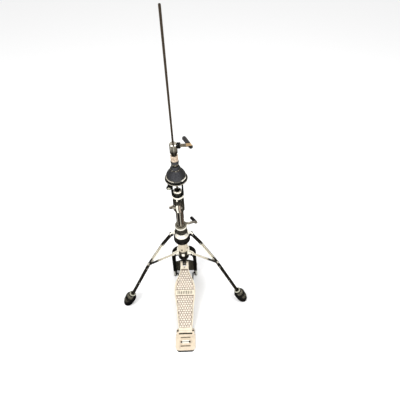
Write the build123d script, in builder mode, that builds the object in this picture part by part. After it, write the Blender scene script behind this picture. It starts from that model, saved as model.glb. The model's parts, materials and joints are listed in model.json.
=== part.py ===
"""Two-legged hi-hat stand: foot pedal, folding legs, sprung pull rod, tilting cymbal seat and clutch.

Millimetres, +Z up. The origin is the point on the floor under the pull rod, -Y points at the player,
and the pedal lies along -Y. Legs, struts and their pivots are drawn in two upright leg planes.
"""

from build123d import *
from math import atan2, cos, hypot, radians, sin
import os

# Tubes and rods
lower_tube_r = 14.3
lower_tube_bore = 12.7
upper_tube_r = 11.1
upper_tube_bore = 9.5
lower_rod_r = 4.0
rod_r = 3.0
rod_top = 1140.0
rod_mark_height = 1064.0
rod_joint_height = 404.0
running = 0.05

# Heights up the stand's axis
arch_top = 219.0
neck_top = 300.0
knob_top = 334.0
dome_top = 366.0
collar_bottom = 370.0
collar_top = 412.0
clamp_bottom = 503.0
clamp_top = 553.0
lower_tube_top = 556.0
upper_tube_bottom = 345.0
yoke_base = 574.0
upper_tube_top = 602.0
seat_pivot_height = 640.0
clutch_bottom = 714.5
clutch_bolt_height = 785.5

# Base frame
arch_foot_half = 55.0
arch_shoulder_half = 52.25
arch_shoulder_height = 172.0
arch_arm_width = 13.5
arch_rear = 30.0
arch_depth = 29.0
arch_foot_height = 9.0
web_thickness = 4.0
spur_offset = (48.0, 38.0)
rod_hook_y = 9.0
rod_hook_z = 16.0

# Neck and spring
neck_r = 19.5
bulb_r = 32.5
spring_bottom = 262.0
spring_top = 335.0
spring_coil_r = 9.8
spring_wire_r = 1.4

# Legs: (distance from the axis, height) in a leg plane
leg_splay = 64.5
leg_pivot = (42.0, 376.0)
leg_knee = (77.0, 341.0)
leg_junction = (153.0, 237.0)
leg_end = (267.0, 40.5)
foot_centre = (274.0, 31.5)
foot_half_length = 40.0
foot_r = 22.0
strut_pivot = (41.0, 233.0)
strip_depth = 8.5
strip_thickness = 2.0
leg_gap = 6.0
strut_thickness = 4.8
ear_inner = strut_thickness / 2 + 0.25
ear_thickness = 3.0
rivet_half = leg_gap / 2 + strip_thickness + 0.3

# Pedal
hinge_y = -258.6
hinge_z = 12.5
toe_y = -3.0
toe_z = 125.0
hinge_pin_r = 3.5
board_slope = atan2(toe_z - hinge_z, toe_y - hinge_y)
board_length = hypot(toe_z - hinge_z, toe_y - hinge_y)
barrel_r = 6.5
barrel_half = 28.0
fork_half = 17.7
fork_slot_half = 7.5
fork_tip = board_length + 9.0
rim_width = 4.0
heel_width = 80.0
heel_back = -331.2
heel_front = -269.0
heel_top = 11.0
rubber_thickness = 3.0
clevis_pin_height = 172.0
clevis_top = 189.0
link_half = 7.0

# Seat
cup_r = 36.0
cup_flange = 659.0
cup_rim = 667.0
wall_r = 31.5
felt_r = 29.3
seat_bore = 7.2
tilt_screw_x = -26.0
tilt_screw_z = 624.0


def turned(*outline):
    """A piece turned about the stand's axis from (radius, height) points."""
    with BuildPart() as piece:
        with BuildSketch(Plane.XZ):
            with BuildLine():
                Polyline(*outline, close=True)
            make_face()
        revolve(axis=Axis.Z)
    return piece


def tube(bottom, top, outer, inner):
    """A plain sleeve on the stand's axis."""
    return turned((inner, bottom), (outer, bottom), (outer, top), (inner, top))


def leg_plane(side, offset=0.0):
    """The upright plane of one leg: X runs outwards along the floor and Y runs up."""
    across = side * sin(radians(leg_splay))
    forward = cos(radians(leg_splay))
    return Plane(origin=(0, 0, 0), x_dir=(across, -forward, 0), z_dir=(-forward, -across, 0)).offset(offset)


def along(start, end, distance):
    """The point a given distance from start towards end."""
    length = hypot(end[0] - start[0], end[1] - start[1])
    share = distance / length
    return (start[0] + share * (end[0] - start[0]), start[1] + share * (end[1] - start[1]))


def wing_bolt(base, stem_r, tip, neck_end, wing_out, tilt, wing_length=42.0):
    """A wing bolt on the Z axis of the base plane, from its tip out to a leaning wing blade."""
    shoulder_r = stem_r + 2.0
    blade_half = 2.2
    with BuildPart() as piece:
        with BuildSketch(base.offset(tip)):
            Circle(stem_r)
        extrude(amount=neck_end - tip)
        with BuildSketch(base.offset(neck_end)):
            Circle(shoulder_r)
        extrude(amount=wing_out + 8 - neck_end)
        blade = Plane(origin=base.origin, x_dir=base.z_dir, z_dir=base.z_dir.cross(Vector(0, 0, 1)))
        with BuildSketch(blade.offset(-blade_half)):
            with Locations((wing_out + 8.5, 0.2 * wing_length)):
                SlotOverall(wing_length, 12.0, rotation=tilt)
        extrude(amount=2 * blade_half)
    return piece


# --- Base frame -----------------------------------------------------------------------------------

with BuildPart() as frame_arch:
    with BuildSketch(Plane.XZ.offset(-arch_rear)):
        with BuildLine():
            Line((arch_foot_half, arch_foot_height), (arch_shoulder_half, arch_shoulder_height))
            Spline((arch_shoulder_half, arch_shoulder_height), (40, 207), (20, arch_top),
                   tangents=((0, 1), (-1, 0)))
            Line((20, arch_top), (0, arch_top))
            Line((0, 190), (16, 190))
            Spline((16, 190), (31, 184), (arch_shoulder_half - arch_arm_width, 160),
                   tangents=((1, 0), (0, -1)))
            Line((arch_shoulder_half - arch_arm_width, 160),
                 (arch_foot_half - arch_arm_width, arch_foot_height))
            Line((arch_foot_half - arch_arm_width, arch_foot_height), (arch_foot_half, arch_foot_height))
            Line((0, arch_top), (0, 190))
        make_face()
        mirror(about=Plane.YZ)
    extrude(amount=arch_depth)
    with BuildSketch(Plane.XY.offset(190)):
        Circle(23)
    extrude(amount=arch_top - 190)
    with BuildSketch(Plane.XY.offset(14)):
        with Locations((spur_offset[0], spur_offset[1]), (-spur_offset[0], spur_offset[1])):
            Circle(7)
        with Locations((spur_offset[0], spur_offset[1] - 5), (-spur_offset[0], spur_offset[1] - 5)):
            Rectangle(11, 10)
    extrude(amount=18)
    with BuildSketch(Plane.XY.offset(14)):
        with Locations(spur_offset, (-spur_offset[0], spur_offset[1])):
            Circle(4.0 + running)
    extrude(amount=18, mode=Mode.SUBTRACT)
    with BuildSketch(Plane.XY.offset(180)):
        Circle(6)
    extrude(amount=60, mode=Mode.SUBTRACT)
    with BuildSketch(Plane.YZ.offset(-47)):
        with Locations((rod_hook_y, rod_hook_z)):
            Circle(3.1)
    extrude(amount=94, mode=Mode.SUBTRACT)

with BuildPart() as frame_web:
    with BuildSketch(Plane.XZ.offset(-arch_rear)):
        with BuildLine():
            Polyline((-46, 9), (46, 9), (46, 88), (8, 106), (-8, 106), (-46, 88), close=True)
        make_face()
        with Locations((0, 52)):
            SlotOverall(36, 14, mode=Mode.SUBTRACT)
    extrude(amount=web_thickness)
    add(frame_arch.part, mode=Mode.SUBTRACT)

with BuildPart() as frame_feet:
    with BuildSketch(Plane.XY):
        with Locations((48.1, arch_rear - arch_depth / 2), (-48.1, arch_rear - arch_depth / 2)):
            RectangleRounded(13, arch_depth - 2, 4)
    extrude(amount=arch_foot_height)

with BuildPart() as spur_left:
    with BuildSketch(Plane.XY.offset(7)):
        with Locations((-spur_offset[0], spur_offset[1])):
            Circle(4)
    extrude(amount=36)
    with BuildSketch(Plane.XY.offset(43)):
        with Locations((-spur_offset[0], spur_offset[1])):
            RegularPolygon(8, 12)
    extrude(amount=6)
    with BuildSketch(Plane.XY.offset(7)):
        with Locations((-spur_offset[0], spur_offset[1])):
            Circle(4)
    extrude(amount=-6, taper=28)

with BuildPart() as spur_right:
    add(spur_left.part.mirror(Plane.YZ))

neck_turned = turned(
    (9, arch_top),
    (23, arch_top),
    (23, arch_top + 4),
    (neck_r, arch_top + 5),
    (neck_r, neck_top),
    (lower_tube_r, neck_top),
    (lower_tube_r, 240),
    (9, 240),
)
neck_screw_height = 264.0
neck_screw_turns = (-99.0, -28.0)
neck_screw_planes = [
    Plane(
        origin=(0, 0, neck_screw_height),
        x_dir=(0, 0, 1),
        z_dir=(cos(radians(turn)), sin(radians(turn)), 0),
    )
    for turn in neck_screw_turns
]
with BuildPart() as neck_screws:
    for screw_plane in neck_screw_planes:
        with BuildSketch(screw_plane.offset(16.5)):
            Circle(3.4)
            RegularPolygon(1.8, 6, mode=Mode.SUBTRACT)
        extrude(amount=5.5)
with BuildPart() as base_neck:
    add(neck_turned.part)
    for screw_plane in neck_screw_planes:
        with BuildSketch(screw_plane.offset(16.5)):
            Circle(3.4)
        extrude(amount=8, mode=Mode.SUBTRACT)

with BuildPart() as lower_leg_collar:
    with BuildSketch(Plane.XY.offset(224)):
        Circle(26)
    extrude(amount=19)
    for side in (-1, 1):
        for ear in (-ear_inner - ear_thickness, ear_inner):
            with BuildSketch(leg_plane(side, ear)):
                with BuildLine():
                    Polyline((18, 226), (41, 226.5), (41, 239.5), (18, 242), close=True)
                make_face()
                with Locations(strut_pivot):
                    Circle(6.5)
                    Circle(2.5, mode=Mode.SUBTRACT)
            extrude(amount=ear_thickness)
    with BuildSketch(Plane.XY.offset(224)):
        Circle(neck_r)
    extrude(amount=19, mode=Mode.SUBTRACT)

with BuildPart() as strut_rivets:
    for side in (-1, 1):
        with BuildSketch(leg_plane(side, -ear_inner - ear_thickness)):
            with Locations(strut_pivot):
                Circle(2.5)
        extrude(amount=2 * (ear_inner + ear_thickness))
        for head in (-ear_inner - ear_thickness - 2, ear_inner + ear_thickness):
            with BuildSketch(leg_plane(side, head)):
                with Locations(strut_pivot):
                    Circle(4.5)
            extrude(amount=2)

spring_housing = turned(
    (lower_tube_r, neck_top),
    (20, neck_top),
    (20, knob_top + 1),
    (bulb_r, knob_top + 1),
    (bulb_r - 0.8, knob_top + 9),
    (bulb_r - 4.5, knob_top + 19),
    (bulb_r - 11, knob_top + 27),
    (lower_tube_r + 2.5, dome_top),
    (lower_tube_r, dome_top),
)

with BuildPart() as tension_knob:
    with BuildSketch(Plane.XZ):
        with BuildLine():
            Polyline((20 + running, 312), (24, 312), (30, 315), (bulb_r, 320), (bulb_r, knob_top - 0.5),
                     (20 + running, knob_top - 0.5), close=True)
        make_face()
    revolve(axis=Axis.Z)
    with BuildSketch(Plane.XY.offset(300)):
        with PolarLocations(bulb_r + 1.4, 20):
            Circle(2.3)
    extrude(amount=30, mode=Mode.SUBTRACT)

lower_tube = tube(240, lower_tube_top, lower_tube_r, lower_tube_bore)
spring_seat = tube(spring_bottom - 8, spring_bottom, lower_tube_bore, lower_rod_r + 0.4)

with BuildPart() as tension_spring:
    with BuildLine() as coil:
        Helix(pitch=9.5, height=spring_top - spring_bottom - 2 * spring_wire_r - 0.4, radius=spring_coil_r,
              center=(0, 0, spring_bottom + spring_wire_r + 0.2))
    with BuildSketch(Plane(origin=coil.line @ 0, z_dir=coil.line % 0)):
        Circle(spring_wire_r)
    sweep()

tube_bushing = turned(
    (upper_tube_r + running, 500),
    (lower_tube_bore, 500),
    (lower_tube_bore, lower_tube_top),
    (lower_tube_r, lower_tube_top),
    (lower_tube_r, lower_tube_top + 3),
    (upper_tube_r + running, lower_tube_top + 3),
)

clamp_bolt_height = clamp_top - 13
clamp_lug_half = 7.0
clamp_lug_y = -25.5
with BuildPart() as height_clamp:
    with BuildSketch(Plane.XY.offset(clamp_bottom)):
        Circle(19.5)
    extrude(amount=clamp_top - clamp_bottom)
    fillet(height_clamp.edges(), radius=1.5)
    with BuildSketch(Plane.YZ.offset(-clamp_lug_half)):
        with Locations((clamp_lug_y + 2, clamp_bolt_height)):
            SlotOverall(26, 17, rotation=90)
        with Locations((clamp_lug_y + 8, clamp_bolt_height)):
            Rectangle(10, 26)
    extrude(amount=2 * clamp_lug_half)
    with BuildSketch(Plane.XY.offset(clamp_bottom)):
        Circle(lower_tube_r)
        with Locations((0, -25)):
            Rectangle(3, 30)
    extrude(amount=clamp_top - clamp_bottom, mode=Mode.SUBTRACT)
    with BuildSketch(Plane.YZ.offset(-12)):
        with Locations((clamp_lug_y, clamp_bolt_height)):
            Circle(3 + running)
    extrude(amount=24, mode=Mode.SUBTRACT)

clamp_bolt_plane = Plane(origin=(0, clamp_lug_y, clamp_bolt_height), x_dir=(0, 1, 0), z_dir=(-1, 0, 0))
with BuildPart() as clamp_nut:
    with BuildSketch(clamp_bolt_plane.offset(-clamp_lug_half - 5)):
        RegularPolygon(6, 6)
        Circle(3 + running, mode=Mode.SUBTRACT)
    extrude(amount=5)
clamp_wing_bolt = wing_bolt(
    clamp_bolt_plane, 3.0, -clamp_lug_half - 6, clamp_lug_half + 0.4, 12.0, 150.0, 25.0
)

rod_start = -245.5
with BuildPart() as radius_rods:
    for side in (-1, 1):
        with BuildLine() as rod_path:
            FilletPolyline((side * 22, rod_start, 6.2), (side * 35, rod_hook_y, rod_hook_z),
                           (side * 46, rod_hook_y, rod_hook_z), radius=6)
        with BuildSketch(Plane(origin=rod_path.line @ 0, z_dir=rod_path.line % 0)):
            Circle(3)
        sweep(path=rod_path.line)

# --- Heel and footboard ---------------------------------------------------------------------------

heel_middle = (heel_back + heel_front) / 2
window_y = -299.5
rubber_front = -256.0
lug_front = -249.5
with BuildPart() as heel_rubber:
    with BuildSketch(Plane.XY) as rubber_outline:
        with Locations((0, (heel_back - 4 + rubber_front) / 2)):
            Rectangle(72, rubber_front - heel_back + 4)
        fillet(rubber_outline.vertices().group_by(Axis.Y)[0], radius=12)
    extrude(amount=rubber_thickness)

with BuildPart() as heel_plate:
    with BuildSketch(Plane.XY.offset(rubber_thickness)) as plate_outline:
        with Locations((0, heel_middle)):
            Rectangle(heel_width, heel_front - heel_back)
        fillet(plate_outline.vertices().group_by(Axis.Y)[0], radius=14)
    extrude(amount=heel_top - rubber_thickness)
    fillet(heel_plate.faces().sort_by(Axis.Z)[-1].edges(), radius=2)
    with BuildSketch(Plane.XY.offset(heel_top - 1)):
        for ridge_y in (-283, -316):
            with Locations((0, ridge_y)):
                SlotOverall(44, 3.5)
        with Locations((0, window_y)):
            RectangleRounded(48, 22, 5)
    extrude(amount=2.5)
    with BuildSketch(Plane.XY.offset(heel_top - 2)):
        with Locations((0, window_y)):
            RectangleRounded(42, 15, 3.5)
    extrude(amount=4, mode=Mode.SUBTRACT)
    with BuildSketch(Plane.XY.offset(rubber_thickness)):
        with Locations((0, -248)):
            Rectangle(72, 4)
    extrude(amount=5.5)
    for lug_start in (-36.0, 28.4):
        with BuildSketch(Plane.YZ.offset(lug_start)):
            with BuildLine():
                Polyline((heel_front - 6, rubber_thickness), (lug_front, rubber_thickness), (lug_front, 13),
                         (hinge_y, hinge_z + 8), (heel_front - 6, heel_top), close=True)
            make_face()
            with Locations((hinge_y, hinge_z)):
                Circle(8)
                Circle(hinge_pin_r, mode=Mode.SUBTRACT)
        extrude(amount=7.6)

with BuildPart() as heel_hinge_pin:
    with BuildSketch(Plane.YZ.offset(-36)):
        with Locations((hinge_y, hinge_z)):
            Circle(hinge_pin_r)
    extrude(amount=72)
    for cap in (-37.6, 36):
        with BuildSketch(Plane.YZ.offset(cap)):
            with Locations((hinge_y, hinge_z)):
                Circle(hinge_pin_r + 1.5)
        extrude(amount=1.6)

board_plane = Plane(
    origin=(0, hinge_y, hinge_z),
    x_dir=(1, 0, 0),
    z_dir=(0, -sin(board_slope), cos(board_slope)),
)


def board_outline(inset=0.0):
    """The footboard's outline, or the same outline drawn in from its sides."""
    knots = ((barrel_half, 5), (32, 38), (36.5, 96), (45, 163), (37.5, 206), (21.5, 240), (fork_half, 264))
    points = [(half_width - inset, reach) for half_width, reach in knots]
    toe_half = fork_half - inset
    with BuildSketch() as outline:
        with BuildLine():
            Spline(*points, tangents=((0.02, 1), (0, 1)))
            Polyline((toe_half, 264), (toe_half, fork_tip), (0, fork_tip), (0, 5), (barrel_half - inset, 5))
        make_face()
        mirror(about=Plane.YZ)
    return outline.sketch


outer_outline = board_outline()
field_outline = board_outline(rim_width)
with BuildPart() as footboard:
    with BuildSketch(board_plane.offset(-1)):
        add(outer_outline)
    extrude(amount=7.5)
    with BuildSketch(board_plane.offset(4)):
        add(field_outline)
        with Locations((0, fork_tip)):
            Rectangle(80, 64, mode=Mode.SUBTRACT)
        Rectangle(80, 30, mode=Mode.SUBTRACT)
    extrude(amount=5, mode=Mode.SUBTRACT)
    with BuildSketch(board_plane.offset(-6)):
        for rib_x in (-14, 0, 14):
            with Locations((rib_x, 135)):
                Rectangle(3, 244)
    extrude(amount=5.5)
    with BuildSketch(Plane.YZ.offset(-barrel_half)):
        with Locations((hinge_y, hinge_z)):
            Circle(barrel_r)
    extrude(amount=2 * barrel_half)
    with BuildSketch(Plane.YZ.offset(-fork_half)):
        with Locations((toe_y, toe_z)):
            Circle(8)
    extrude(amount=2 * fork_half)
    with BuildSketch(board_plane.offset(-20)):
        with Locations((0, board_length + 9)):
            Rectangle(2 * fork_slot_half, 40)
    extrude(amount=40, mode=Mode.SUBTRACT)
    with BuildSketch(Plane.YZ.offset(-40)):
        with Locations((hinge_y, hinge_z)):
            Circle(hinge_pin_r + running)
        with Locations((toe_y, toe_z)):
            Circle(hinge_pin_r)
    extrude(amount=80, mode=Mode.SUBTRACT)

with BuildPart() as toe_pin:
    with BuildSketch(Plane.YZ.offset(-fork_half)):
        with Locations((toe_y, toe_z)):
            Circle(hinge_pin_r)
    extrude(amount=2 * fork_half)

# --- Link, pull rod and clevis --------------------------------------------------------------------

with BuildPart() as link_plates:
    for plate_x in (-link_half, link_half - 3):
        with BuildSketch(Plane.YZ.offset(plate_x)):
            with BuildLine():
                Line((toe_y, toe_z), (0, clevis_pin_height))
            trace(line_width=11)
            with Locations((toe_y, toe_z)):
                Circle(7.2)
                Circle(hinge_pin_r + 1.6, mode=Mode.SUBTRACT)
            with Locations((0, clevis_pin_height)):
                Circle(6.5)
                Circle(3 + running, mode=Mode.SUBTRACT)
        extrude(amount=3)
    with BuildSketch(Plane.YZ.offset(-4)):
        with Locations((-1.5, 148.5)):
            Circle(4.5)
    extrude(amount=8)

with BuildPart() as rod_clevis:
    with BuildSketch(Plane.YZ.offset(-10.5)):
        with BuildLine():
            Polyline((-8, clevis_pin_height), (8, clevis_pin_height),
                     (8, clevis_top), (-8, clevis_top), close=True)
        make_face()
        with Locations((0, clevis_pin_height)):
            Circle(8)
    extrude(amount=21)
    with BuildSketch(Plane.YZ.offset(-7.3)):
        with Locations((0, 167)):
            Rectangle(30, 27)
    extrude(amount=14.6, mode=Mode.SUBTRACT)
    with BuildSketch(Plane.YZ.offset(-12)):
        with Locations((0, clevis_pin_height)):
            Circle(3)
    extrude(amount=24, mode=Mode.SUBTRACT)
    with BuildSketch(Plane.XY.offset(180)):
        Circle(lower_rod_r)
    extrude(amount=20, mode=Mode.SUBTRACT)

with BuildPart() as clevis_pin:
    with BuildSketch(Plane.YZ.offset(-12)):
        with Locations((0, clevis_pin_height)):
            Circle(3)
    extrude(amount=24)

lower_pull_rod = turned((0, 181), (lower_rod_r, 181), (lower_rod_r, rod_joint_height), (0, rod_joint_height))
spring_perch = tube(spring_top, spring_top + 6, lower_tube_bore - 0.4, lower_rod_r)
rod_coupler = turned(
    (lower_rod_r, rod_joint_height - 19),
    (6.5, rod_joint_height - 19),
    (6.5, rod_joint_height + 19),
    (rod_r, rod_joint_height + 19),
    (rod_r, rod_joint_height),
    (lower_rod_r, rod_joint_height),
)
upper_pull_rod = turned(
    (0, rod_joint_height),
    (rod_r, rod_joint_height),
    (rod_r, rod_mark_height),
    (rod_r - 0.4, rod_mark_height + 0.4),
    (rod_r - 0.4, rod_mark_height + 1.6),
    (rod_r, rod_mark_height + 2),
    (rod_r, rod_top - 1.5),
    (rod_r - 1.5, rod_top),
    (0, rod_top),
)

# --- Upper tube and tilter yoke -------------------------------------------------------------------

upper_tube = tube(upper_tube_bottom, upper_tube_top, upper_tube_r, upper_tube_bore)
rod_guide_bush = tube(upper_tube_top - 20, upper_tube_top, upper_tube_bore, rod_r + running)
memory_lock = turned(
    (upper_tube_r, 560.5),
    (17, 560.5),
    (18, 561.5),
    (18, 570.5),
    (17, 571.5),
    (upper_tube_r, 571.5),
)
tube_ring_nut = turned(
    (upper_tube_r, 588),
    (13.5, 588),
    (14.3, 589),
    (14.3, 599),
    (13.5, 600),
    (upper_tube_r, 600),
)

arm_inner = 14.9
arm_outer = 20.0
with BuildPart() as tilter_yoke:
    with BuildSketch(Plane.XY.offset(yoke_base)):
        Circle(arm_outer)
    extrude(amount=8)
    for arm_start in (-arm_outer, arm_inner):
        with BuildSketch(Plane.YZ.offset(arm_start)):
            with BuildLine():
                Polyline((-9, yoke_base), (9, yoke_base), (6.5, seat_pivot_height),
                         (-6.5, seat_pivot_height), close=True)
            make_face()
            with Locations((0, seat_pivot_height)):
                Circle(6.5)
        extrude(amount=arm_outer - arm_inner)
    with BuildSketch(Plane.XZ.offset(-6)):
        with BuildLine():
            Polyline((-arm_outer + 1, 614), (-30, 619), (-30, 629), (-arm_outer + 1, 629), close=True)
        make_face()
    extrude(amount=12)
    with BuildSketch(Plane.XY.offset(yoke_base)):
        Circle(upper_tube_r)
    extrude(amount=8, mode=Mode.SUBTRACT)
    with BuildSketch(Plane.YZ.offset(-30)):
        with Locations((0, seat_pivot_height)):
            Circle(3 + running)
    extrude(amount=60, mode=Mode.SUBTRACT)
    with BuildSketch(Plane.XZ.offset(-15)):
        with Locations((tilt_screw_x, tilt_screw_z)):
            Circle(3 + running)
    extrude(amount=30, mode=Mode.SUBTRACT)

with BuildPart() as tilter_screw:
    with BuildSketch(Plane.XZ.offset(-8.7)):
        with Locations((tilt_screw_x, tilt_screw_z)):
            Circle(3)
    extrude(amount=17.2)
    with BuildSketch(Plane.XZ.offset(8.5)):
        with Locations((tilt_screw_x, tilt_screw_z)):
            Circle(8)
            with PolarLocations(8.6, 12):
                Circle(1.4, mode=Mode.SUBTRACT)
    extrude(amount=6)

# --- Tilting seat ---------------------------------------------------------------------------------

with BuildPart() as seat_hub:
    with BuildSketch(Plane.XY.offset(seat_pivot_height - 9)):
        RectangleRounded(2 * arm_inner - 1, 20, 3)
    extrude(amount=20)
    with BuildSketch(Plane.XY.offset(seat_pivot_height - 9)):
        Circle(seat_bore)
    extrude(amount=20, mode=Mode.SUBTRACT)
    with BuildSketch(Plane.YZ.offset(-20)):
        with Locations((0, seat_pivot_height)):
            Circle(3)
    extrude(amount=40, mode=Mode.SUBTRACT)

with BuildPart() as seat_pins:
    for pin_start, pin_length in ((-24.5, 16), (8.5, 13)):
        with BuildSketch(Plane.YZ.offset(pin_start)):
            with Locations((0, seat_pivot_height)):
                Circle(3)
        extrude(amount=pin_length)

with BuildPart() as tilt_lever:
    with BuildSketch(Plane.YZ.offset(-24.3)):
        with BuildLine():
            Polyline((0, seat_pivot_height), (11, 638), (13, 624))
        trace(line_width=8)
        with Locations((0, seat_pivot_height)):
            Circle(6)
            Circle(3, mode=Mode.SUBTRACT)
    extrude(amount=2.8)
    with BuildSketch(Plane.XZ.offset(-13)):
        with Locations((-25.7, 624)):
            Rectangle(8.4, 12)
    extrude(amount=4)

seat_base = seat_pivot_height + 11
seat_cup = turned(
    (seat_bore, seat_base),
    (24, seat_base),
    (cup_r, cup_flange - 3),
    (cup_r, cup_flange),
    (wall_r + 1.5, cup_flange + 1),
    (wall_r, cup_rim),
    (wall_r - 1.9, cup_rim),
    (wall_r - 1.3, cup_flange + 1),
    (23, seat_base + 2.4),
    (seat_bore, seat_base + 2.4),
)
cup_floor = seat_base + 2.4
main_felt = turned(
    (9.5, cup_floor),
    (22.4, cup_floor),
    (felt_r + 0.5, cup_flange + 1.2),
    (felt_r, cup_rim + 3),
    (28, 677),
    (24.5, 684),
    (19, 692),
    (15.8, 696),
    (15, 697),
    (9.5, 697),
)
top_felt = turned((9.5, 700), (14, 700), (12.5, 708.5), (9.5, 708.5))
with BuildPart() as seat_felts:
    add(main_felt.part)
    add(top_felt.part)
seat_washer = tube(697, 700, 16.5, 9.5)
seat_sleeve = turned(
    (seat_bore, cup_floor),
    (9.5, cup_floor),
    (9.5, 709.5),
    (10.5, 709.5),
    (10.5, 712),
    (seat_bore, 712),
)

# --- Clutch ---------------------------------------------------------------------------------------

clutch_shank_r = 6.0
clutch_bore = rod_r + running
clutch_turned = turned(
    (clutch_bore, clutch_bottom),
    (clutch_shank_r, clutch_bottom),
    (clutch_shank_r, 751),
    (8.5, 751),
    (8.5, 758),
    (11.6, 761),
    (11.6, 791),
    (9.8, 793),
    (clutch_bore, 793),
)
clutch_bolt_plane = Plane(origin=(0, 0, clutch_bolt_height), x_dir=(0, 1, 0), z_dir=(1, 0, 0))
with BuildPart() as clutch_body:
    add(clutch_turned.part)
    with BuildSketch(clutch_bolt_plane.offset(9)):
        Circle(6.5)
    extrude(amount=8)
    with BuildSketch(clutch_bolt_plane.offset(3.2)):
        Circle(3 + running)
    extrude(amount=20, mode=Mode.SUBTRACT)

clutch_wing_bolt = wing_bolt(clutch_bolt_plane, 3.0, 3.4, 17.3, 33.0, 120.0, 47.0)
with BuildPart() as clutch_lock_nuts:
    for nut_bottom in (731, 741.5):
        with BuildSketch(Plane.XY.offset(nut_bottom)):
            Circle(11.5)
            Circle(clutch_shank_r, mode=Mode.SUBTRACT)
            with PolarLocations(12, 16):
                Circle(1.3, mode=Mode.SUBTRACT)
        extrude(amount=8.5)
clutch_felt = turned((clutch_shank_r, 721.5), (12.5, 721.5), (12.5, 730.5), (clutch_shank_r, 730.5))
clutch_bottom_nut = tube(clutch_bottom + 0.3, 721, 11.5, clutch_shank_r)

# --- Folding legs ---------------------------------------------------------------------------------

collar_bolt_turn = radians(18.0)
collar_bolt_height = 405.0
collar_bolt_plane = Plane(
    origin=(0, 0, collar_bolt_height),
    x_dir=(-sin(collar_bolt_turn), cos(collar_bolt_turn), 0),
    z_dir=(cos(collar_bolt_turn), sin(collar_bolt_turn), 0),
)
tongue_half = leg_gap / 2 - 0.3
with BuildPart() as leg_collar:
    with BuildSketch(Plane.XY.offset(collar_bottom)):
        Circle(22)
    extrude(amount=collar_top - collar_bottom)
    fillet(leg_collar.edges().group_by(Axis.Z)[-1], radius=2)
    for side in (-1, 1):
        with BuildSketch(leg_plane(side, -tongue_half)):
            with BuildLine():
                Polyline((15, 370), (41, 369.5), (42, 382.5), (18, 396), close=True)
            make_face()
            with Locations(leg_pivot):
                Circle(6.5)
        extrude(amount=2 * tongue_half)
        with BuildSketch(leg_plane(side, -tongue_half - 1)):
            with Locations(leg_pivot):
                Circle(3)
        extrude(amount=2 * tongue_half + 2, mode=Mode.SUBTRACT)
    with BuildSketch(collar_bolt_plane.offset(18)):
        Circle(6.5)
    extrude(amount=9)
    with BuildSketch(collar_bolt_plane.offset(14)):
        Circle(3 + running)
    extrude(amount=20, mode=Mode.SUBTRACT)
    with BuildSketch(Plane.XY.offset(collar_bottom)):
        Circle(lower_tube_r + 1.5)
    extrude(amount=collar_top - collar_bottom, mode=Mode.SUBTRACT)
bush_sleeve = tube(collar_bottom, collar_top, lower_tube_r + 1.5, lower_tube_r + running)
with BuildPart() as collar_bush:
    add(bush_sleeve.part)
    with BuildSketch(collar_bolt_plane.offset(10)):
        Circle(3 + running)
    extrude(amount=20, mode=Mode.SUBTRACT)
collar_wing_bolt = wing_bolt(collar_bolt_plane, 3.0, lower_tube_r + 0.3, 27.3, 43.0, 115.0, 52.0)

with BuildPart() as collar_rivets:
    for side in (-1, 1):
        with BuildSketch(leg_plane(side, -rivet_half)):
            with Locations(leg_pivot):
                Circle(3)
        extrude(amount=2 * rivet_half)
        for head in (-rivet_half - 2, rivet_half - 0.1):
            with BuildSketch(leg_plane(side, head)):
                with Locations(leg_pivot):
                    Circle(5.5)
            extrude(amount=2.1)


def leg(side):
    """One leg: two parallel strips bent at the knee, packed at the knee, above the strut and to the foot."""
    packed_runs = (
        (along(leg_pivot, leg_knee, 15), leg_knee, along(leg_knee, leg_junction, 14)),
        (along(leg_junction, leg_knee, 32), along(leg_junction, leg_knee, 16)),
        (along(leg_junction, leg_end, 14), leg_end),
    )
    with BuildPart() as bars:
        for inner_face in (-leg_gap / 2 - strip_thickness, leg_gap / 2):
            with BuildSketch(leg_plane(side, inner_face)):
                with BuildLine():
                    FilletPolyline(leg_pivot, leg_knee, leg_junction, leg_end, radius=30)
                trace(line_width=strip_depth)
                with Locations(leg_pivot):
                    Circle(strip_depth / 2)
                    Circle(3 + running, mode=Mode.SUBTRACT)
            extrude(amount=strip_thickness)
        for run in packed_runs:
            with BuildSketch(leg_plane(side, -leg_gap / 2)):
                with BuildLine():
                    Polyline(*run)
                trace(line_width=strip_depth - 3)
            extrude(amount=leg_gap)
    return bars


def leg_foot(bars):
    """The right leg's long rubber boot, in line with the leg, with a pocket for the leg's end."""
    run = along(leg_junction, leg_end, 1)
    direction = leg_plane(1).from_local_coords((run[0] - leg_junction[0], run[1] - leg_junction[1], 0))
    centre = leg_plane(1).from_local_coords((foot_centre[0], foot_centre[1], 0))
    boot_plane = Plane(origin=centre, x_dir=direction, z_dir=leg_plane(1).z_dir)
    with BuildPart() as foot:
        with BuildSketch(boot_plane):
            Ellipse(foot_half_length, foot_r)
            Rectangle(100, 60, align=(Align.CENTER, Align.MIN), mode=Mode.INTERSECT)
        revolve(axis=Axis(centre, direction))
        split(bisect_by=Plane.XY, keep=Keep.TOP)
        add(bars.part, mode=Mode.SUBTRACT)
    return foot


def strut(side):
    """The flat bar that holds a leg out: pivoted in the lower collar, its far eye between the strips."""
    with BuildPart() as bar:
        with BuildSketch(leg_plane(side, -strut_thickness / 2)):
            with BuildLine():
                Line(strut_pivot, leg_junction)
            trace(line_width=9)
            with Locations(strut_pivot, leg_junction):
                Circle(6)
            with Locations(strut_pivot):
                Circle(2.5 + running, mode=Mode.SUBTRACT)
        extrude(amount=strut_thickness)
    return bar


leg_left = leg(-1)
leg_right = leg(1)
leg_foot_right = leg_foot(leg_right)
with BuildPart() as leg_foot_left:
    add(leg_foot_right.part.mirror(Plane.YZ))

# --- Export ---------------------------------------------------------------------------------------

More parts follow.
